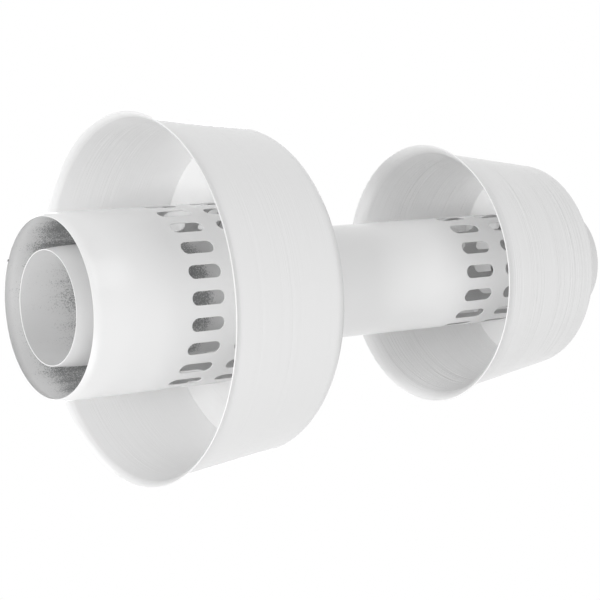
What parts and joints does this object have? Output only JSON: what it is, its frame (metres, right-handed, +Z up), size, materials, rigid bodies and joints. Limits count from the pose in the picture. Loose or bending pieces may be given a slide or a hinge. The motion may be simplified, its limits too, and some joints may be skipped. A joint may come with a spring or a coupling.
{
  "type": "coaxial flue terminal",
  "caption": "Vertical roof terminal for a balanced boiler flue: a flue pipe inside a wider air pipe, each slotted under its own downward-opening bell cowl.",
  "frame": {"origin": "centre of the joining end of the pipes, at the base of the part", "axes": "+Z up along the common axis of the pipes, from the joining end to the closed end; -Y faces a slot of each pipe"},
  "size_m": [0.2553, 0.2554, 0.4553],
  "materials": {
    "powder_coated_sheet": "white gloss powder coat over spun and rolled sheet",
    "spring_sheet": "bare rolled spring sheet",
    "painted_rivet": "blind rivet coated with the terminal"
  },
  "bodies": {
    "root": {"air_pipe": "powder_coated_sheet", "flue_pipe": "powder_coated_sheet", "intake_bell": "powder_coated_sheet", "exhaust_bell": "powder_coated_sheet", "flue_end_cap": "powder_coated_sheet", "centring_spacer": "spring_sheet", "intake_collar_rivets": "painted_rivet", "exhaust_collar_rivets": "painted_rivet"}
  },
  "joints": []
}
